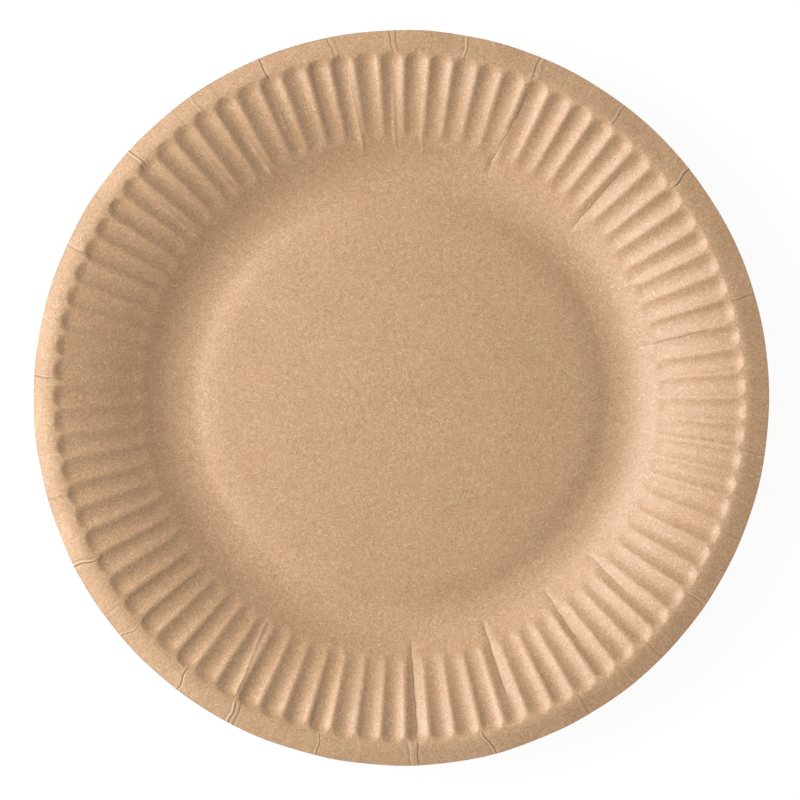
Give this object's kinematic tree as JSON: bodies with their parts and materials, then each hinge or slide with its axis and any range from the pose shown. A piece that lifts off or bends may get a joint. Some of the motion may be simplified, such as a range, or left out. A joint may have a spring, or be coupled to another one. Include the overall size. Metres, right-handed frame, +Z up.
{
  "type": "paper plate",
  "caption": "Round disposable plate pressed from one sheet of kraft paperboard, with a slightly domed well, a standing ring, a radially fluted wall and a narrow down-turned lip.",
  "frame": {"origin": "centre of the plate, on the plane that its standing ring rests on", "axes": "+Z up through the centre of the plate; X and Y lie in the table plane, and a ridge of the flutes lies on +X"},
  "size_m": [0.23, 0.23, 0.0166],
  "materials": {
    "paper": "uncoated brown kraft board, matte, with fine pale and dark fibres"
  },
  "bodies": {
    "root": {"plate": "paper"}
  },
  "joints": []
}
